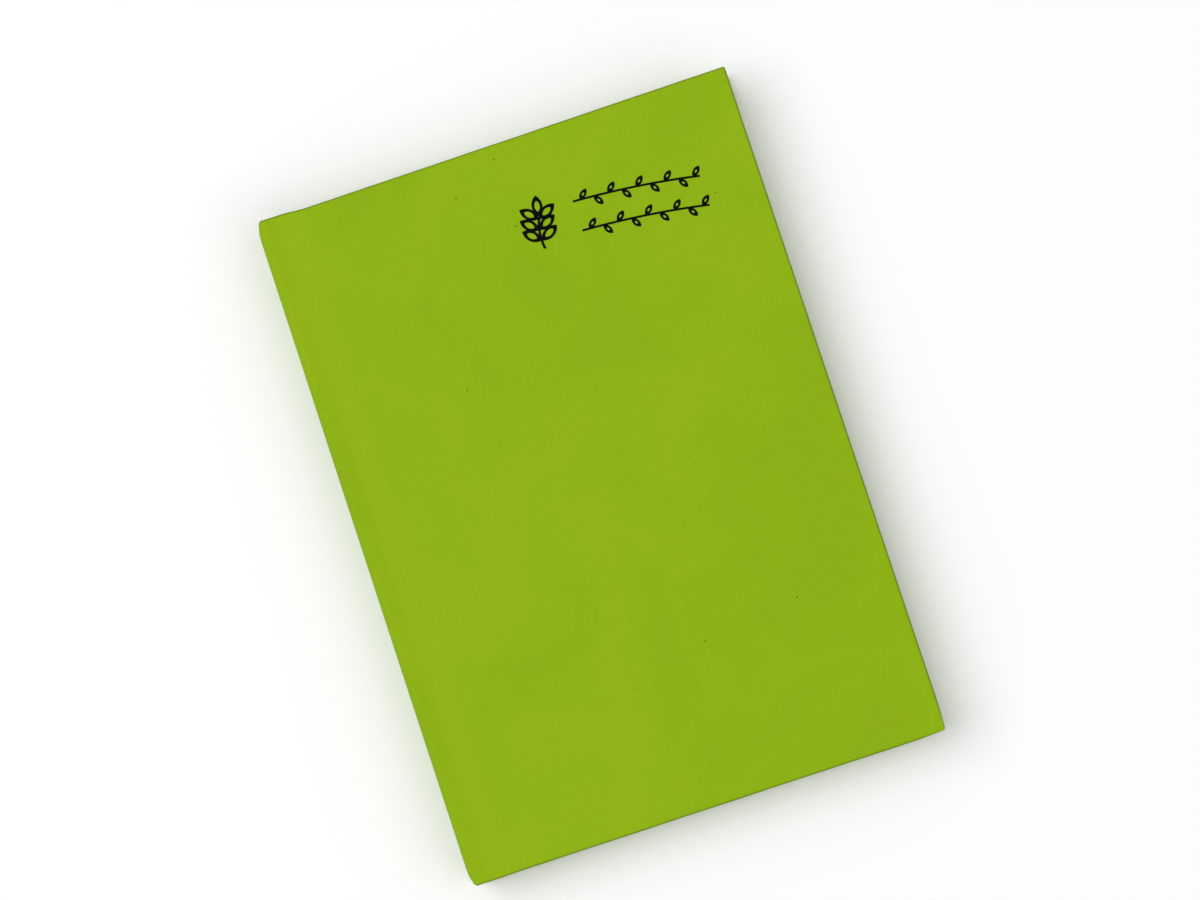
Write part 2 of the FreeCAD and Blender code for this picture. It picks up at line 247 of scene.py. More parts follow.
def mirror_if_back(bm, side):
    """Leaves a front piece as it is, and mirrors a back piece about the middle of the book."""
    if side == "front":
        return
    about_middle = Matrix.Translation((0, 0, -MIDDLE))
    bmesh.ops.scale(bm, vec=(1, 1, -1), space=about_middle, verts=bm.verts)
    bmesh.ops.reverse_faces(bm, faces=bm.faces)


def as_piece(bm, name, material):
    """Turns the mesh into an object at the origin, smooth but for its sharp edges."""
    for face in bm.faces:
        face.smooth = True
    for edge in bm.edges:
        edge.smooth = edge.calc_face_angle(0) < SHARP
    mesh = bpy.data.meshes.new(name)
    bm.to_mesh(mesh)
    bm.free()
    mesh.materials.append(material)
    piece = bpy.data.objects.new(name, mesh)
    bpy.context.scene.collection.objects.link(piece)
    return piece


def thicken(bm, thickness):
    """Gives a sheet its thickness, behind the side that it faces."""
    bm.normal_update()
    bmesh.ops.solidify(bm, geom=list(bm.faces), thickness=thickness)


def cover(node, material):
    """Gives a piece of the frame its finish."""
    slots = frame["nodes"][node].data.materials
    slots.clear()
    slots.append(material)


def flat_sheet(bm, xs, ys, level):
    """A flat rectangle between the first and last places, cut at those between."""
    bmesh.ops.create_grid(bm, x_segments=1, y_segments=1, size=0.5)
    bmesh.ops.scale(bm, vec=(xs[-1] - xs[0], ys[-1] - ys[0], 1), verts=bm.verts)
    centre = Vector(((xs[0] + xs[-1]) / 2, (ys[0] + ys[-1]) / 2, level))
    bmesh.ops.translate(bm, vec=centre, verts=bm.verts)
    cut(bm, 0, xs[1:-1])
    cut(bm, 1, ys[1:-1])


def trim_corners(bm, edge, radius):
    """Rounds the corners of a flat sheet that lie on its fore edge."""
    corners = [v for v in bm.verts if abs(v.co.x - edge) < HAIR and len(v.link_edges) == 2]
    bmesh.ops.bevel(
        bm,
        geom=corners,
        offset=radius,
        segments=LEAF_CORNER_FACES,
        profile=0.5,
        affect="VERTICES",
        material=-1,
    )


# Node helpers and shared effects


def place_node(tree, kind, **settings):
    """A node with its settings."""
    node = tree.nodes.new(kind)
    for name, value in settings.items():
        setattr(node, name, value)
    return node


def feed(tree, node, **inputs):
    """Sets or links a node's inputs by name, with _ for a space."""
    for name, value in inputs.items():
        socket = node.inputs[name.replace("_", " ")]
        if isinstance(value, bpy.types.NodeSocket):
            tree.links.new(value, socket)
        else:
            socket.default_value = value
    return node


def calculate(tree, operation, first, second=0.0, third=0.0):
    """A Math node's result."""
    node = place_node(tree, "ShaderNodeMath", operation=operation)
    for socket, value in zip(node.inputs, (first, second, third)):
        if isinstance(value, bpy.types.NodeSocket):
            tree.links.new(value, socket)
        else:
            socket.default_value = value
    return node.outputs[0]


def mix_colours(tree, share, first, second):
    """One colour fading to another by share."""
    node = place_node(tree, "ShaderNodeMix", data_type="RGBA")
    for socket, value in ((node.inputs[0], share), (node.inputs[6], first), (node.inputs[7], second)):
        if isinstance(value, bpy.types.NodeSocket):
            tree.links.new(value, socket)
        elif isinstance(value, float):
            socket.default_value = value
        else:
            socket.default_value = (*value, 1)[:4]
    return node.outputs[2]


def remap(tree, value, low, high, to_low=0.0, to_high=1.0):
    """A value carried from one range to another, smoothly and without leaving it."""
    node = place_node(tree, "ShaderNodeMapRange", interpolation_type="SMOOTHSTEP")
    feed(tree, node, Value=value, From_Min=low, From_Max=high, To_Min=to_low, To_Max=to_high)
    return node.outputs[0]


def start_group(name, inputs, outputs):
    """A shared effect: its node tree and its two ends."""
    group = bpy.data.node_groups.new(name, "ShaderNodeTree")
    for label, kind, default in inputs:
        socket = group.interface.new_socket(name=label, in_out="INPUT", socket_type=kind)
        if default is not None:
            socket.default_value = default
    for label, kind in outputs:
        group.interface.new_socket(name=label, in_out="OUTPUT", socket_type=kind)
    start = group.nodes.new("NodeGroupInput")
    end = group.nodes.new("NodeGroupOutput")
    return group, start.outputs, end.inputs


def use_group(tree, group, **inputs):
    """Places a shared effect in a material with its own values."""
    node = place_node(tree, "ShaderNodeGroup", node_tree=group)
    return feed(tree, node, **inputs).outputs


def grain_group():
    """Fine pebbled grain of a coated cover, over a slow unevenness of the board below."""
    group, given, result = start_group(
        "cover_grain",
        [("Vector", "NodeSocketVector", None), ("Grain", "NodeSocketFloat", 2600.0),
         ("Unevenness", "NodeSocketFloat", 0.35)],
        [("Height", "NodeSocketFloat"), ("Pits", "NodeSocketFloat")],
    )
    pebbles = place_node(group, "ShaderNodeTexVoronoi", feature="SMOOTH_F1")
    feed(group, pebbles, Vector=given["Vector"], Scale=given["Grain"], Smoothness=0.6)
    fibres = place_node(group, "ShaderNodeTexNoise")
    feed(group, fibres, Vector=given["Vector"], Scale=900.0, Detail=4.0, Roughness=0.6)
    slow = place_node(group, "ShaderNodeTexNoise")
    feed(group, slow, Vector=given["Vector"], Scale=70.0, Detail=2.0)
    fine = calculate(group, "ADD", pebbles.outputs["Distance"], fibres.outputs["Fac"])
    height = calculate(group, "MULTIPLY_ADD", slow.outputs["Fac"], given["Unevenness"], fine)
    group.links.new(height, result["Height"])
    group.links.new(pebbles.outputs["Distance"], result["Pits"])
    return group


def cloud_group():
    """Large soft clouds, as where glue and handling changed a surface a little."""
    group, given, result = start_group(
        "soft_clouds",
        [("Vector", "NodeSocketVector", None), ("Size", "NodeSocketFloat", 30.0),
         ("Contrast", "NodeSocketFloat", 0.25)],
        [("Mask", "NodeSocketFloat")],
    )
    clouds = place_node(group, "ShaderNodeTexNoise")
    feed(group, clouds, Vector=given["Vector"], Scale=given["Size"])
    feed(group, clouds, Detail=4.0, Roughness=0.6, Distortion=0.6)
    low = calculate(group, "SUBTRACT", 0.5, given["Contrast"])
    high = calculate(group, "ADD", 0.5, given["Contrast"])
    group.links.new(remap(group, clouds.outputs["Fac"], low, high), result["Mask"])
    return group


def speck_group():
    """A few tiny specks scattered over a surface."""
    group, given, result = start_group(
        "scattered_specks",
        [("Vector", "NodeSocketVector", None), ("Spacing", "NodeSocketFloat", 110.0),
         ("Size", "NodeSocketFloat", 0.02), ("Share", "NodeSocketFloat", 0.06)],
        [("Mask", "NodeSocketFloat")],
    )
    cells = place_node(group, "ShaderNodeTexVoronoi", feature="F1", voronoi_dimensions="2D")
    feed(group, cells, Vector=given["Vector"], Scale=given["Spacing"])
    chosen = place_node(group, "ShaderNodeSeparateColor")
    group.links.new(cells.outputs["Color"], chosen.inputs[0])
    rare = calculate(group, "LESS_THAN", chosen.outputs[0], given["Share"])
    wide = calculate(group, "MULTIPLY", given["Size"], 1.8)
    spot = remap(group, cells.outputs["Distance"], wide, given["Size"])
    group.links.new(calculate(group, "MULTIPLY", rare, spot), result["Mask"])
    return group


ROLL_START = 0.3 * MM  # down the wall, the painted shade on the rim is full to here
ROLL_END = 1.1 * MM  # and has faded here


def rim_group():
    """A mask that rises where the cloth rolls over the head, tail and fore edges of a cover, where
    painted shade darkens the rims.
    """
    group, given, result = start_group(
        "rolled_rims",
        [("Vector", "NodeSocketVector", None), ("Width", "NodeSocketFloat", 0.5 * MM),
         ("Step Start", "NodeSocketFloat", 5.5 * MM), ("Step End", "NodeSocketFloat", 11.5 * MM)],
        [("Mask", "NodeSocketFloat")],
    )
    along = place_node(group, "ShaderNodeSeparateXYZ")
    group.links.new(given["Vector"], along.inputs[0])
    x, y, z = along.outputs
    from_spine = calculate(group, "SUBTRACT", x, SPINE_FACE)
    step = (given["Step Start"], given["Step End"])
    to_head = calculate(group, "SUBTRACT", remap(group, from_spine, *step, SPINE_HEAD, BOARD_HEAD), y)
    to_tail = calculate(group, "SUBTRACT", y, remap(group, from_spine, *step, SPINE_TAIL, BOARD_TAIL))
    to_end = calculate(group, "MINIMUM", to_head, to_tail)
    to_edge = calculate(group, "MINIMUM", to_end, calculate(group, "SUBTRACT", FORE_EDGE, x))
    from_middle = calculate(group, "ABSOLUTE", calculate(group, "SUBTRACT", z, MIDDLE))
    down_wall = calculate(group, "SUBTRACT", MIDDLE, from_middle)
    on_roll = remap(group, down_wall, ROLL_END, ROLL_START)
    at_edge = remap(group, to_edge, given["Width"], 0.0)
    group.links.new(calculate(group, "MULTIPLY", at_edge, on_roll), result["Mask"])
    return group


def fibre_group():
    """Paper: short matted fibres, and the faint cloudiness of a sheet."""
    group, given, result = start_group(
        "paper_fibres",
        [("Vector", "NodeSocketVector", None), ("Fibres", "NodeSocketFloat", 1400.0)],
        [("Height", "NodeSocketFloat"), ("Cloud", "NodeSocketFloat")],
    )
    stretched = place_node(group, "ShaderNodeMapping", vector_type="POINT")
    feed(group, stretched, Vector=given["Vector"], Scale=(1.0, 0.45, 1.0))
    fibres = place_node(group, "ShaderNodeTexNoise")
    feed(group, fibres, Vector=stretched.outputs[0], Scale=given["Fibres"], Detail=5.0, Roughness=0.65)
    cloud = place_node(group, "ShaderNodeTexNoise")
    feed(group, cloud, Vector=given["Vector"], Scale=160.0, Detail=3.0)
    group.links.new(fibres.outputs["Fac"], result["Height"])
    group.links.new(cloud.outputs["Fac"], result["Cloud"])
    return group


def weave_group():
    """Open plain weave: two sets of threads that cross."""
    group, given, result = start_group(
        "open_weave",
        [("Vector", "NodeSocketVector", None), ("Threads", "NodeSocketFloat", 380.0)],
        [("Height", "NodeSocketFloat"), ("Gaps", "NodeSocketFloat")],
    )
    sets = []
    for direction in ("Y", "Z"):
        threads = place_node(group, "ShaderNodeTexWave", wave_type="BANDS", bands_direction=direction)
        feed(group, threads, Vector=given["Vector"], Scale=given["Threads"], Distortion=0.6, Detail=1.0)
        sets.append(threads.outputs["Fac"])
    height = calculate(group, "MAXIMUM", *sets)
    group.links.new(height, result["Height"])
    group.links.new(remap(group, height, 0.35, 0.15), result["Gaps"])
    return group


EFFECTS = {}


def effect(name):
    """A shared effect, built the first time it is asked for."""
    makers = {
        "grain": grain_group,
        "clouds": cloud_group,
        "specks": speck_group,
        "rims": rim_group,
        "fibres": fibre_group,
        "weave": weave_group,
    }
    if name not in EFFECTS:
        EFFECTS[name] = makers[name]()
    return EFFECTS[name]


# Finishes


def start_material(name, roughness, shine):
    """A material with its shader, and the object's own coordinates."""
    material = bpy.data.materials.new(name)
    material.use_nodes = True
    tree = material.node_tree
    shader = tree.nodes["Principled BSDF"]
    shader.inputs["Roughness"].default_value = roughness
    shader.inputs["Specular IOR Level"].default_value = shine
    place = place_node(tree, "ShaderNodeTexCoord").outputs["Object"]
    return material, tree, shader, place


def bump(tree, shader, height, depth, strength=1.0):
    """Lets a height stand out of the surface, depth metres at most."""
    node = place_node(tree, "ShaderNodeBump")
    feed(tree, node, Height=height, Distance=depth, Strength=strength)
    tree.links.new(node.outputs[0], shader.inputs["Normal"])


def groove_highlight_band(tree, place, case):
    """A mask for a painted highlight over the groove, strongest half-way up its far side, the slope that
    faces the key light.
    """
    across = place_node(tree, "ShaderNodeSeparateXYZ")
    tree.links.new(place, across.inputs[0])
    from_spine = calculate(tree, "SUBTRACT", across.outputs[0], SPINE_FACE)
    middle = (case.groove_floor + case.groove_end) / 2
    rising = remap(tree, from_spine, case.groove_start, middle)
    falling = remap(tree, from_spine, case.groove_end + case.highlight_past, middle)
    return calculate(tree, "MULTIPLY", rising, falling)


def cloth_finish(case):
    """Matte coated covering material with clouds, specks, painted shade on the rims and down in the
    grain's pits, and a painted highlight band over the groove.
    """
    material, tree, shader, place = start_material("lime_cover", 0.62, 0.08)
    clouds = use_group(tree, effect("clouds"), Vector=place, Size=34.0, Contrast=0.22)["Mask"]
    clouded = mix_colours(tree, clouds, case.cloth_colour, case.shade_colour)
    # Paints a highlight over the groove's far slope, which faces the key light.
    base = mix_colours(tree, groove_highlight_band(tree, place, case), clouded, case.groove_highlight_colour)
    steps = {"Step_Start": case.step_start, "Step_End": case.step_end}
    rims = use_group(tree, effect("rims"), Vector=place, Width=0.5 * MM, **steps)["Mask"]
    # Paints shade on the rims, where the cloth rolls over the edges and turns away from the light.
    rim_shading = calculate(tree, "MULTIPLY", rims, 0.9)
    rubbed = mix_colours(tree, rim_shading, base, case.rim_shade_colour)
    specks = use_group(tree, effect("specks"), Vector=place, Spacing=95.0, Size=0.014, Share=0.06)
    spotting = calculate(tree, "MULTIPLY", specks["Mask"], 0.7)
    spotted = mix_colours(tree, spotting, rubbed, case.speck_colour)
    grain = use_group(tree, effect("grain"), Vector=place, Grain=2600.0, Unevenness=0.5)
    # Paints shade down in the pits of the grain.
    depth = calculate(tree, "MULTIPLY", grain["Pits"], 0.22)
    pit_shaded = mix_colours(tree, depth, spotted, case.pit_shade_colour)
    tree.links.new(pit_shaded, shader.inputs["Base Color"])
    roughness = remap(tree, grain["Pits"], 0.0, 1.0, 0.54, 0.70)
    tree.links.new(roughness, shader.inputs["Roughness"])
    bump(tree, shader, grain["Height"], 0.05 * MM, 0.8)
    return material


def paper_finish(name, base, shade_share, depth):
    """Matte paper with fibres."""
    material, tree, shader, place = start_material(name, 0.85, 0.25)
    fibres = use_group(tree, effect("fibres"), Vector=place, Fibres=1400.0)
    shade = [value * shade_share for value in base]
    tone = remap(tree, fibres["Cloud"], 0.3, 0.7)
    tree.links.new(mix_colours(tree, tone, tuple(base), shade), shader.inputs["Base Color"])
    bump(tree, shader, fibres["Height"], depth)
    return material


def edge_finish(paper):
    """Pages seen at their trimmed edges too, with a fine line of painted shade between each leaf and the
    next.
    """
    material, tree, shader, place = start_material("trimmed_pages", 0.88, 0.2)
    fibres = use_group(tree, effect("fibres"), Vector=place, Fibres=1100.0)
    streaks = place_node(tree, "ShaderNodeMapping", vector_type="POINT")
    feed(tree, streaks, Vector=place, Scale=(6.0, 6.0, 1800.0))
    lines = place_node(tree, "ShaderNodeTexNoise")
    feed(tree, lines, Vector=streaks.outputs[0], Scale=3.0, Detail=2.0)
    normal = place_node(tree, "ShaderNodeNewGeometry").outputs["True Normal"]
    facing = place_node(tree, "ShaderNodeSeparateXYZ")
    tree.links.new(normal, facing.inputs[0])
    upright = calculate(tree, "SUBTRACT", 1.0, calculate(tree, "ABSOLUTE", facing.outputs[2]))
    share = calculate(tree, "MULTIPLY", remap(tree, lines.outputs["Fac"], 0.35, 0.65), upright)
    # Painted shade: the darker lines between the leaves on the trimmed edges.
    leaf_line_shade = [value * 0.86 for value in paper.page_colour]
    lined = mix_colours(tree, share, paper.page_colour, leaf_line_shade)
    tree.links.new(lined, shader.inputs["Base Color"])
    bump(tree, shader, fibres["Height"], 0.012 * MM)
    return material


def board_finish(case):
    """Grey-brown binder's board with flecks of waste paper."""
    material, tree, shader, place = start_material("binders_board", 0.9, 0.2)
    flecks = use_group(tree, effect("specks"), Vector=place, Spacing=900.0, Size=0.25, Share=0.3)
    fibres = use_group(tree, effect("fibres"), Vector=place, Fibres=900.0)
    dark = [value * 0.72 for value in case.board_colour]
    matted = mix_colours(tree, fibres["Cloud"], case.board_colour, dark)
    flecked = mix_colours(tree, flecks["Mask"], matted, case.fleck_colour)
    tree.links.new(flecked, shader.inputs["Base Color"])
    bump(tree, shader, fibres["Height"], 0.03 * MM)
    return material


def ink_finish(case):
    """Black screen print: a thin even film that the grain shows through."""
    material, tree, shader, place = start_material("black_print", 0.55, 0.04)
    grain = use_group(tree, effect("grain"), Vector=place, Grain=2600.0, Unevenness=0.2)
    wear = calculate(tree, "MULTIPLY", grain["Pits"], 0.35)
    worn = mix_colours(tree, wear, case.ink_colour, case.worn_ink_colour)
    tree.links.new(worn, shader.inputs["Base Color"])
    bump(tree, shader, grain["Height"], 0.01 * MM)
    return material


def band_finish(bands):
    """Coloured and pale threads in turn, wound over a core."""
    material, tree, shader, place = start_material("band_threads", 0.55, 0.4)
    along = place_node(tree, "ShaderNodeSeparateXYZ")
    tree.links.new(place, along.inputs[0])
    count = calculate(tree, "DIVIDE", along.outputs[2], 2 * bands.winding)
    turn = calculate(tree, "FRACT", count)
    pale = calculate(tree, "GREATER_THAN", turn, 0.5)
    threads = mix_colours(tree, pale, bands.band_colour, bands.pale_colour)
    fibres = use_group(tree, effect("fibres"), Vector=place, Fibres=2600.0)
    shade = calculate(tree, "MULTIPLY", fibres["Height"], 0.4)
    shaded = mix_colours(tree, shade, threads, bands.shaded_colour)
    tree.links.new(shaded, shader.inputs["Base Color"])
    bump(tree, shader, fibres["Height"], 0.03 * MM)
    return material


def mull_finish(bands):
    """Stiffened open-weave cloth."""
    material, tree, shader, place = start_material("mull_cloth", 0.8, 0.2)
    weave = use_group(tree, effect("weave"), Vector=place, Threads=380.0)
    # Painted shade in the gaps of the weave, where the threads leave holes.
    gap_shade = [value * 0.45 for value in bands.mull_colour]
    woven = mix_colours(tree, weave["Gaps"], bands.mull_colour, gap_shade)
    tree.links.new(woven, shader.inputs["Base Color"])
    bump(tree, shader, weave["Height"], 0.12 * MM)
    return material


def thread_finish(bands):
    """Waxed linen thread with its twist."""
    material, tree, shader, place = start_material("waxed_thread", 0.45, 0.45)
    twist = place_node(tree, "ShaderNodeTexWave", wave_type="BANDS", bands_direction="DIAGONAL")
    feed(tree, twist, Vector=place, Scale=900.0, Distortion=0.4)
    # The darker stripes along the twist are painted shade in the grooves between the plies.
    shade = [value * 0.7 for value in bands.thread_colour]
    twisted = mix_colours(tree, twist.outputs["Fac"], shade, bands.thread_colour)
    tree.links.new(twisted, shader.inputs["Base Color"])
    bump(tree, shader, twist.outputs["Fac"], 0.05 * MM)
    return material


# Case


WALL_THINS = 1.2 * MM  # length of cloth over which the case thins past the spine board
WALL_THICKENS = 0.6 * MM  # and over which it thickens before a board
PAST_STEP = 0.5 * MM  # the close cuts go on this far past the head step
CLEAR_OF_CORNER = 0.1 * MM  # no cut comes nearer than this to a board's rounded corner
CLEAR_OF_RIM = 0.5 * MM  # nor nearer than this to its rounded rim
EDGE_NEAR = 1 * MM  # up to here from the head or tail, the cloth moves with its edge
EDGE_FAR = 5 * MM  # and from here on it stays
RIPPLES = 90  # how fast the ripple of an edge changes, per metre
OTHER_RIPPLE = 7  # how far the head's ripple is from the tail's


def spine_run(case):
    """Lengths of the cloth up the flat half of the spine, and round the shoulder."""
    return TOP / 2 - case.shoulder, case.shoulder * math.pi / 2


def case_length(case):
    """Length of the cloth from the middle of the spine to the fore edge, along its outer face."""
    rise, roll = spine_run(case)
    return rise + roll + FORE_EDGE - SPINE_FACE - case.shoulder


def groove_drop(case, from_spine):
    """How far the cloth has sunk at a distance from the spine."""
    down = ease(from_spine, case.groove_start, case.groove_floor)
    up = ease(from_spine, case.groove_floor, case.groove_end)
    return case.groove * (down - up)


def case_path(case, along):
    """The point of the outer face at a length along the cloth, and the direction into the cloth."""
    rise, roll = spine_run(case)
    if along < rise:
        return Vector((SPINE_FACE, 0, TOP / 2 + along)), Vector((1, 0, 0))
    if along < rise + roll:
        angle = (along - rise) / case.shoulder
        inward = Vector((math.cos(angle), 0, -math.sin(angle)))
        centre = Vector((SPINE_FACE + case.shoulder, 0, TOP - case.shoulder))
        return centre - inward * case.shoulder, inward
    from_spine = case.shoulder + along - rise - roll
    level = TOP - groove_drop(case, from_spine)
    return Vector((SPINE_FACE + from_spine, 0, level)), Vector((0, 0, -1))


def case_wall(case, along):
    """Thickness of the case at a length along the cloth."""
    rise = TOP / 2 - SPINE_BOARD_LOW
    spine_left = ease(along, rise, rise + WALL_THINS)
    board_start = case_length(case) - (FORE_EDGE - BOARD_START)
    board_reached = ease(along, board_start - WALL_THICKENS, board_start)
    over_joint = case.spine_wall + (case.joint_wall - case.spine_wall) * spine_left
    return over_joint + (BOARD_WALL - case.joint_wall) * board_reached


def cloth_blank(bm, case):
    """The cloth laid out straight and already folded round its three free edges, open at the spine."""
    length = case_length(case)
    height = BOARD_HEAD - BOARD_TAIL
    bmesh.ops.create_cube(bm, size=1)
    bmesh.ops.scale(bm, vec=(length, height, BOARD_WALL), verts=bm.verts)
    centre = Vector((length / 2, (BOARD_HEAD + BOARD_TAIL) / 2, -BOARD_WALL / 2))
    bmesh.ops.translate(bm, vec=centre, verts=bm.verts)
    posts = [e for e in bm.edges if all(v.co.x > length - HAIR for v in e.verts) and is_upright(e)]
    bmesh.ops.bevel(
        bm,
        geom=posts,
        offset=case.corner,
        segments=CORNER_FACES,
        profile=0.5,
        affect="EDGES",
        material=-1,
    )
    rims = [e for e in bm.edges if is_rim(e)]
    bmesh.ops.bevel(
        bm, geom=rims, offset=case.rim, segments=RIM_FACES, profile=0.5, affect="EDGES", material=-1
    )
    cut(bm, 0, cloth_cuts_along(case))
    cut(bm, 1, cloth_cuts_across(case))
    hidden = [f for f in bm.faces if is_open_part(f, case)]
    bmesh.ops.delete(bm, geom=hidden, context="FACES")


def is_upright(edge):
    """Whether an edge of the blank stands on it."""
    low, high = edge.verts
    return abs(low.co.z - high.co.z) > HAIR


def is_rim(edge):
    """Whether an edge of the blank lies between a flat face and a free edge's wall."""
    if is_upright(edge) or all(v.co.x < HAIR for v in edge.verts):
        return False
    return any(abs(face.normal.z) < 0.5 for face in edge.link_faces)


def is_open_part(face, case):
    """Whether a face closes the spine end, or lies inside the turn-ins."""
    centre = face.calc_center_median()
    if centre.x < HAIR:
        return True
    inside = BOARD_TAIL + case.turn_in < centre.y < BOARD_HEAD - case.turn_in
    before_edge = centre.x < case_length(case) - case.turn_in
    return centre.z < -BOARD_WALL + HAIR and inside and before_edge


def cloth_cuts_along(case):
    """Where the blank is cut across its length: closely at the shoulder and groove, then widely."""
    rise, roll = spine_run(case)
    joint_end = rise + roll + case.step_end - case.shoulder + PAST_STEP
    end = case_length(case)
    shoulder = spread(rise, rise + roll, SHOULDER_FACES)
    groove = spread(rise + roll, joint_end, GROOVE_FACES)[1:]
    board = spread(joint_end, end - case.turn_in, 16)[1:]
    margin = spread(end - case.turn_in, end - case.corner - CLEAR_OF_CORNER, 5)[1:]
    return [rise / 2, *shoulder, *groove, *board, *margin]


def cloth_cuts_across(case):
    """Where the blank is cut along its length: closely near the head and tail."""
    close = spread(CLEAR_OF_RIM + case.rim, case.turn_in, 7)
    middle = spread(BOARD_TAIL + case.turn_in, BOARD_HEAD - case.turn_in, 24)[1:-1]
    tail = [BOARD_TAIL + place for place in close]
    head = [BOARD_HEAD - place for place in close]
    return [*tail, *middle, *head]


def round_spine_corner(case, point):
    """Carries the square corner of the spine onto an oval one."""
    for end, way in ((SPINE_HEAD, 1), (SPINE_TAIL, -1)):
        into = 1 - (point.x - SPINE_FACE) / case.corner_across
        past = 1 - (end - point.y) * way / case.corner_along
        if into > 0 and past > 0:
            reach = max(into, past) / math.hypot(into, past)
            point.x = SPINE_FACE + case.corner_across * (1 - into * reach)
            point.y = end - way * case.corner_along * (1 - past * reach)


def shape_edges(case, point):
    """Lets the edges run as on a used notebook: longer at the spine, rippled, and rubbed at a corner."""
    from_spine = point.x - SPINE_FACE
    strip = 1 - ease(from_spine, case.step_start, case.step_end)
    near_head = ease(point.y, BOARD_HEAD - EDGE_FAR, BOARD_HEAD - EDGE_NEAR)
    near_tail = 1 - ease(point.y, BOARD_TAIL + EDGE_NEAR, BOARD_TAIL + EDGE_FAR)
    point.y += strip * near_head * (SPINE_HEAD - BOARD_HEAD)
    point.y += strip * near_tail * (SPINE_TAIL - BOARD_TAIL)
    ripple = noise.noise(Vector((point.x * RIPPLES, 0, near_head * OTHER_RIPPLE)))
    point.y += ripple * case.ripple * (near_head - near_tail)
    to_fore = FORE_EDGE - point.x
    to_tail = point.y - BOARD_TAIL
    rubbed = 1 - ease(math.hypot(to_fore, to_tail), 0, case.wear_reach)
    point.x -= case.wear * rubbed * ease(to_tail, case.wear_reach, 0)
    point.y += case.wear * rubbed * ease(to_fore, case.wear_reach, 0)


def wrap_cloth(bm, case):
    """Wraps the straight blank round the spine, into the groove and over the board."""
    for vertex in bm.verts:
        along = vertex.co.x
        depth = -vertex.co.z / BOARD_WALL
        outer, inward = case_path(case, along)
        place = outer + inward * depth * case_wall(case, along)
        point = Vector((place.x, vertex.co.y, place.z))
        shape_edges(case, point)
        round_spine_corner(case, point)
        vertex.co = point


def case_cloth(side, case, material):
    """One half of the covering material, from the middle of the spine to the fore edge."""
    bm = start_mesh()
    cloth_blank(bm, case)
    wrap_cloth(bm, case)
    thicken(bm, case.cloth)
    mirror_if_back(bm, side)
    piece = as_piece(bm, f"{side}_cover_cloth", material)
    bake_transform(piece)
    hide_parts(f"{side}_cloth", f"{side}_joint_cloth", "spine_cloth")


# Paper

RIDGE_OUT = 0.2 * MM  # the pastedown's ridge rises from here, outside the edge of the turn-in
RIDGE_IN = 0.5 * MM  # to here, inside it


def bend_places(start, length):
    """Close places over a stretch that bends."""
    return spread(start, start + length, BEND_FACES)


def pastedown_level(case, paper, x, y):
    """How far the pastedown sinks towards the board where no turned-in cloth lies behind it."""
    from_turn_in = min(
        FORE_EDGE - case.turn_in - x,
        BOARD_HEAD - case.turn_in - y,
        y - BOARD_TAIL - case.turn_in,
        x - BOARD_START,
    )
    return paper.ridge * ease(from_turn_in, -RIDGE_OUT, RIDGE_IN)


def pastedown_sheet(side, case, paper, material):
    """The half of an endpaper that is glued to the cover and crosses its joint."""
    low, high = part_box("front_pastedown")
    bend = bend_places(JOINT.x, BOARD_START - JOINT.x)
    ridge_x = FORE_EDGE - case.turn_in
    xs = [GUTTER, *bend, BOARD_START + RIDGE_IN, ridge_x - RIDGE_IN, ridge_x + RIDGE_OUT, high.x]
    tail_ridge, head_ridge = BOARD_TAIL + case.turn_in, BOARD_HEAD - case.turn_in
    ys = [low.y, tail_ridge - RIDGE_OUT, tail_ridge + RIDGE_IN, 0]
    ys += [head_ridge - RIDGE_IN, head_ridge + RIDGE_OUT, high.y]
    bm = start_mesh()
    flat_sheet(bm, xs, ys, low.z)
    for vertex in bm.verts:
        vertex.co.z += pastedown_level(case, paper, vertex.co.x, vertex.co.y)
    bmesh.ops.reverse_faces(bm, faces=bm.faces)
    thicken(bm, (high.z - low.z) / 2)
    mirror_if_back(bm, side)
    piece = as_piece(bm, f"{side}_pastedown_sheet", material)
    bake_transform(piece)
    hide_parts(f"{side}_pastedown")


def turning_sheet(node, paper, material, slot, chance, *folds):
    """One flat leaf from the gutter to the fore edge, cut closely over the stretch at the gutter where a
    turning leaf bends.
    """
    low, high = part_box(node)
    bend_start = JOINT.x
    edge = high.x + chance.uniform(-1, 1) * paper.trim
    xs = [GUTTER, *bend_places(bend_start, paper.gutter_bend), edge]
    ys = [low.y + chance.uniform(0, 1) * paper.trim, high.y - chance.uniform(0, 1) * paper.trim]
    bm = start_mesh()
    flat_sheet(bm, xs, ys, high.z)
    trim_corners(bm, edge, paper.page_corner)
    thicken(bm, high.z - low.z)
    piece = as_piece(bm, f"{node}_sheet", material)
    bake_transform(piece)
    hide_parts(node, *folds)


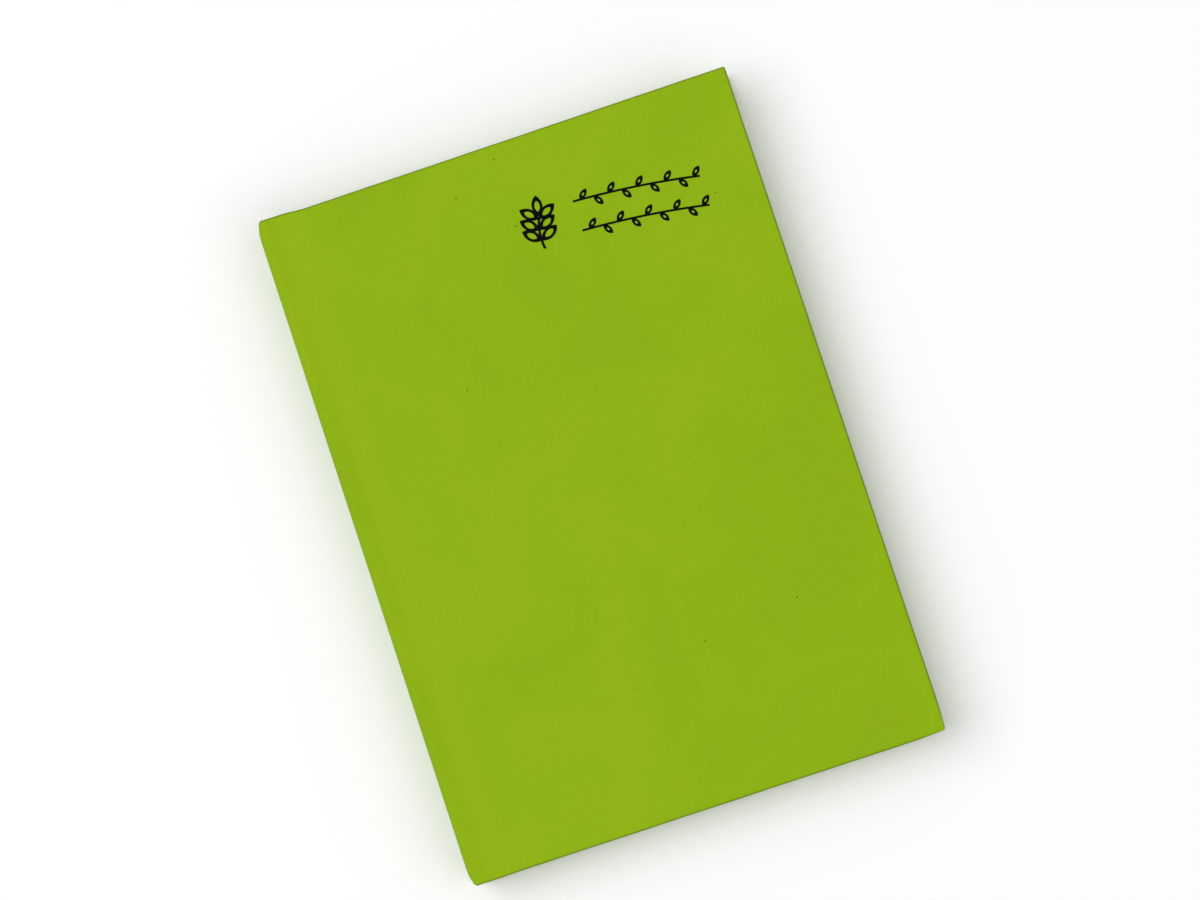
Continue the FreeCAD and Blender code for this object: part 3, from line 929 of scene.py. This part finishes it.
def folded_sheet(bm, paper, chance, back, low, high):
    """One sheet folded at the back, its two leaves at the levels low and high."""
    middle = (low + high) / 2
    radius = (high - low) / 2
    room = paper.thread_room
    centre = back + radius if radius > room else back
    tail = PAGE_TAIL + chance.uniform(0, 1) * paper.trim
    head = PAGE_HEAD - chance.uniform(0, 1) * paper.trim
    edges = [PAGE_EDGE - chance.uniform(0, 2) * paper.trim for _ in range(2)]
    first = bmesh.ops.create_vert(bm, co=(edges[0], tail, high))["vert"]
    at_fold = bmesh.ops.extrude_vert_indiv(bm, verts=first)
    bmesh.ops.translate(bm, vec=(centre - edges[0], 0, 0), verts=at_fold["verts"])
    fold = bmesh.ops.spin(
        bm,
        geom=at_fold["verts"],
        cent=(centre, tail, middle),
        axis=(0, 1, 0),
        angle=-math.pi,
        steps=FOLD_FACES,
    )
    last = [v for v in fold["geom_last"] if isinstance(v, bmesh.types.BMVert)]
    back_edge = bmesh.ops.extrude_vert_indiv(bm, verts=last)
    bmesh.ops.translate(bm, vec=(edges[1] - centre, 0, 0), verts=back_edge["verts"])
    profile = [e for e in bm.edges if not e.link_faces]
    walls = bmesh.ops.extrude_edge_only(bm, edges=profile)
    moved = [v for v in walls["geom"] if isinstance(v, bmesh.types.BMVert)]
    bmesh.ops.translate(bm, vec=(0, head - tail, 0), verts=moved)


def section_levels(node):
    """Lowest and highest level of the sheets of a section, without its turning leaves."""
    low, high = (corner.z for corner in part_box(node))
    if node == SECTIONS[0]:
        return low, min(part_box(leaf)[0].z for leaf in FRONT_LEAVES)
    if node == SECTIONS[-1]:
        return max(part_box(leaf)[1].z for leaf in LAST_LEAVES), high
    return low, high


def section_sheets(node, paper, material, chance):
    """A sewn section: sheets folded into each other."""
    low, high = section_levels(node)
    count = int((high - low) / 2 / paper.pitch + 0.5)
    pitch = (high - low) / 2 / count
    bm = start_mesh()
    for number in range(count):
        inset = (number + 0.5) * pitch
        radius = (high - low) / 2 - inset
        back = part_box(node)[0].x + inset
        if radius <= paper.thread_room:
            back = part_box(node)[0].x + (high - low) / 2 + paper.thread_room
        folded_sheet(bm, paper, chance, back, low + inset, high - inset)
    bmesh.ops.recalc_face_normals(bm, faces=bm.faces)
    thicken(bm, paper.sheet)
    piece = as_piece(bm, f"{node}_sheets", material)
    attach(piece, "text_block")
    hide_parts(node)


# Bands


def wound_band(node, bands, material):
    """A head or tail band: thread wound over a round core, on a tape glued to the back."""
    low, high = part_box(node)
    radius = (high.x - low.x) / 2
    at_head = high.y > PAGE_HEAD
    centre_y = high.y - radius if at_head else low.y + radius
    windings = round((high.z - low.z) / bands.winding)
    steps = windings * WINDING_FACES
    rise = (high.z - low.z) / steps
    bm = start_mesh()
    core = radius - bands.relief
    bmesh.ops.create_circle(bm, cap_ends=True, segments=bands.around, radius=core)
    centre = Vector(((low.x + high.x) / 2, centre_y, low.z))
    bmesh.ops.translate(bm, vec=centre, verts=bm.verts)
    edges = list(bm.edges)
    for step in range(1, steps + 1):
        wall = bmesh.ops.extrude_edge_only(bm, edges=edges)["geom"]
        verts = [v for v in wall if isinstance(v, bmesh.types.BMVert)]
        edges = [e for e in wall if isinstance(e, bmesh.types.BMEdge)]
        edges = [e for e in edges if all(v in verts for v in e.verts)]
        bmesh.ops.translate(bm, vec=(0, 0, rise), verts=verts)
        for vertex in verts:
            from_core = Vector((vertex.co.x - centre.x, vertex.co.y - centre.y, 0)).normalized()
            turn = math.tau * step / WINDING_FACES
            swell = radius - bands.relief * (1 + math.cos(turn)) / 2
            vertex.co.x = centre.x + from_core.x * swell
            vertex.co.y = centre.y + from_core.y * swell
    bmesh.ops.edgeloop_fill(bm, edges=edges)
    tape_ends = (low.y, centre_y) if at_head else (centre_y, high.y)
    tape = bmesh.ops.create_cube(bm, size=1)["verts"]
    tape_size = Vector((bands.tape, tape_ends[1] - tape_ends[0], high.z - low.z))
    bmesh.ops.scale(bm, vec=tape_size, verts=tape)
    tape_centre = Vector((low.x + tape_size.x / 2, sum(tape_ends) / 2, (low.z + high.z) / 2))
    bmesh.ops.translate(bm, vec=tape_centre, verts=tape)
    bmesh.ops.recalc_face_normals(bm, faces=bm.faces)
    piece = as_piece(bm, f"{node}_threads", material)
    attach(piece, "text_block")
    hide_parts(node)


# Operators


class NOTEBOOK_OT_case(Operator):
    """Covers the boards and the spine with one cloth, groove, turn-ins and all"""

    bl_idname = "notebook.case"
    bl_label = "Cover cloth"

    def execute(self, context):
        case = context.scene.notebook_case
        material = cloth_finish(case)
        for side in SIDES:
            case_cloth(side, case, material)
        return {"FINISHED"}


class NOTEBOOK_OT_boards(Operator):
    """Finishes the boards that the cloth is glued to"""

    bl_idname = "notebook.boards"
    bl_label = "Boards"

    def execute(self, context):
        material = board_finish(context.scene.notebook_case)
        for node in ("front_board", "back_board", "spine_board"):
            cover(node, material)
        return {"FINISHED"}


class NOTEBOOK_OT_ornament(Operator):
    """Inks the printed sprig and vines"""

    bl_idname = "notebook.ornament"
    bl_label = "Printed ornament"

    def execute(self, context):
        material = ink_finish(context.scene.notebook_case)
        for node in ("sprig_print", "vine_print"):
            cover(node, material)
        return {"FINISHED"}


class NOTEBOOK_OT_endpapers(Operator):
    """Pastes the endpapers down and hangs their flyleaves"""

    bl_idname = "notebook.endpapers"
    bl_label = "Endpapers"

    def execute(self, context):
        case = context.scene.notebook_case
        paper = context.scene.notebook_paper
        material = paper_finish("endpaper_stock", paper.endpaper_colour, 0.98, 0.012 * MM)
        chance = random.Random(ENDPAPER_SEED)
        for side in SIDES:
            pastedown_sheet(side, case, paper, material)
            fold = f"{side}_endpaper_guard"
            turning_sheet(f"{side}_flyleaf", paper, material, "endpaper", chance, fold)
        return {"FINISHED"}


class NOTEBOOK_OT_leaves(Operator):
    """Makes the leaves that turn with the covers"""

    bl_idname = "notebook.leaves"
    bl_label = "Turning leaves"

    def execute(self, context):
        paper = context.scene.notebook_paper
        material = paper_finish("turning_pages", paper.page_colour, 0.98, 0.010 * MM)
        chance = random.Random(LEAF_SEED)
        for node in FRONT_LEAVES + LAST_LEAVES:
            turning_sheet(node, paper, material, "page", chance)
        return {"FINISHED"}


class NOTEBOOK_OT_sections(Operator):
    """Folds the sheets of the sewn sections"""

    bl_idname = "notebook.sections"
    bl_label = "Sewn sections"

    def execute(self, context):
        paper = context.scene.notebook_paper
        material = edge_finish(paper)
        chance = random.Random(SECTION_SEED)
        for node in SECTIONS:
            section_sheets(node, paper, material, chance)
        return {"FINISHED"}


class NOTEBOOK_OT_bands(Operator):
    """Winds the head band and the tail band"""

    bl_idname = "notebook.bands"
    bl_label = "Head and tail bands"

    def execute(self, context):
        bands = context.scene.notebook_bands
        material = band_finish(bands)
        for node in ("headband", "tailband"):
            wound_band(node, bands, material)
        return {"FINISHED"}


class NOTEBOOK_OT_binding(Operator):
    """Finishes the mull, the paper liner and the sewing thread"""

    bl_idname = "notebook.binding"
    bl_label = "Mull, liner and thread"

    def execute(self, context):
        bands = context.scene.notebook_bands
        cloth = mull_finish(bands)
        for node in ("mull", "front_mull_flap", "back_mull_flap"):
            cover(node, cloth)
        cover("spine_liner", paper_finish("kraft_liner", bands.liner_colour, 0.85, 0.03 * MM))
        cover("sewing_thread", thread_finish(bands))
        return {"FINISHED"}


KEY_PLACE = (-0.6, 0.3, 1.25)
FILL_PLACE = (0.7, -0.5, 1.2)
NOTEBOOK_PLACE = (0, 0, 0)
CAMERA_PLACE = (0.0411, -0.0488, 0.8573)
CAMERA_TURN = (2.620, 3.657, -18.326)  # degrees
LENS = 120  # mm
SENSOR_WIDTH = 36  # mm


def area_light(name, place, side, power):
    """A square soft light that faces the notebook."""
    light = bpy.data.lights.new(name, "AREA")
    light.size = side
    light.energy = power
    lamp = bpy.data.objects.new(name, light)
    lamp.location = place
    lamp.rotation_euler = (Vector(NOTEBOOK_PLACE) - Vector(place)).to_track_quat("-Z", "Y").to_euler()
    bpy.context.scene.collection.objects.link(lamp)


def table_top(stage):
    """The pale table that the notebook lies on."""
    bm = start_mesh()
    bmesh.ops.create_grid(bm, x_segments=1, y_segments=1, size=stage.floor_side / 2)
    material, tree, shader, place = start_material("pale_table", 0.9, 0.1)
    clouds = use_group(tree, effect("clouds"), Vector=place, Size=6.0, Contrast=0.3)["Mask"]
    pale = tuple(stage.floor_colour)
    dim = [value * 0.995 for value in pale]
    tree.links.new(mix_colours(tree, clouds, pale, dim), shader.inputs["Base Color"])
    as_piece(bm, "table_top", material)


class NOTEBOOK_OT_stage(Operator):
    """Sets the table, the lights and the camera"""

    bl_idname = "notebook.stage"
    bl_label = "Table, lights and camera"

    def execute(self, context):
        scene = context.scene
        stage = scene.notebook_stage
        table_top(stage)
        area_light("key_light", KEY_PLACE, stage.key_side, stage.key_power)
        area_light("fill_light", FILL_PLACE, stage.fill_side, stage.fill_power)
        world = bpy.data.worlds.new("soft_room")
        world.use_nodes = True
        sky = world.node_tree.nodes["Background"].inputs
        sky["Color"].default_value = (1, 1, 1, 1)
        sky["Strength"].default_value = stage.sky
        scene.world = world
        scene.view_settings.view_transform = "Standard"
        camera = bpy.data.objects.new("camera", bpy.data.cameras.new("camera"))
        camera.data.lens = LENS
        camera.data.sensor_width = SENSOR_WIDTH
        camera.location = CAMERA_PLACE
        camera.rotation_euler = [math.radians(angle) for angle in CAMERA_TURN]
        scene.collection.objects.link(camera)
        scene.camera = camera
        return {"FINISHED"}


OPERATORS = (
    NOTEBOOK_OT_case,
    NOTEBOOK_OT_boards,
    NOTEBOOK_OT_ornament,
    NOTEBOOK_OT_endpapers,
    NOTEBOOK_OT_leaves,
    NOTEBOOK_OT_sections,
    NOTEBOOK_OT_bands,
    NOTEBOOK_OT_binding,
    NOTEBOOK_OT_stage,
)


class NOTEBOOK_PT_build(Panel):
    """The notebook's pieces, and the sizes and colours that shape them"""

    bl_label = "Pocket notebook"
    bl_idname = "NOTEBOOK_PT_build"
    bl_space_type = "VIEW_3D"
    bl_region_type = "UI"
    bl_category = "Notebook"

    def draw(self, context):
        layout = self.layout
        for operator in OPERATORS:
            layout.operator(operator.bl_idname)
        for name in SETTINGS:
            settings = getattr(context.scene, name)
            box = layout.box()
            for value in settings.__annotations__:
                box.prop(settings, value)


SETTINGS = {
    "notebook_case": CaseSettings,
    "notebook_paper": PaperSettings,
    "notebook_bands": BandSettings,
    "notebook_stage": StageSettings,
}


def register():
    """Registers the settings, the operators and the panel."""
    for name, settings in SETTINGS.items():
        bpy.utils.register_class(settings)
        setattr(bpy.types.Scene, name, PointerProperty(type=settings))
    for operator in OPERATORS:
        bpy.utils.register_class(operator)
    bpy.utils.register_class(NOTEBOOK_PT_build)


def unregister():
    """Takes the panel, the operators and the settings away again."""
    bpy.utils.unregister_class(NOTEBOOK_PT_build)
    for operator in reversed(OPERATORS):
        bpy.utils.unregister_class(operator)
    for name, settings in reversed(SETTINGS.items()):
        delattr(bpy.types.Scene, name)
        bpy.utils.unregister_class(settings)


def main():
    """Builds the notebook and its stage."""
    register()
    bpy.ops.notebook.case()
    bpy.ops.notebook.boards()
    bpy.ops.notebook.ornament()
    bpy.ops.notebook.endpapers()
    bpy.ops.notebook.leaves()
    bpy.ops.notebook.sections()
    bpy.ops.notebook.bands()
    bpy.ops.notebook.binding()
    bpy.ops.notebook.stage()


if __name__ == "__main__":
    main()
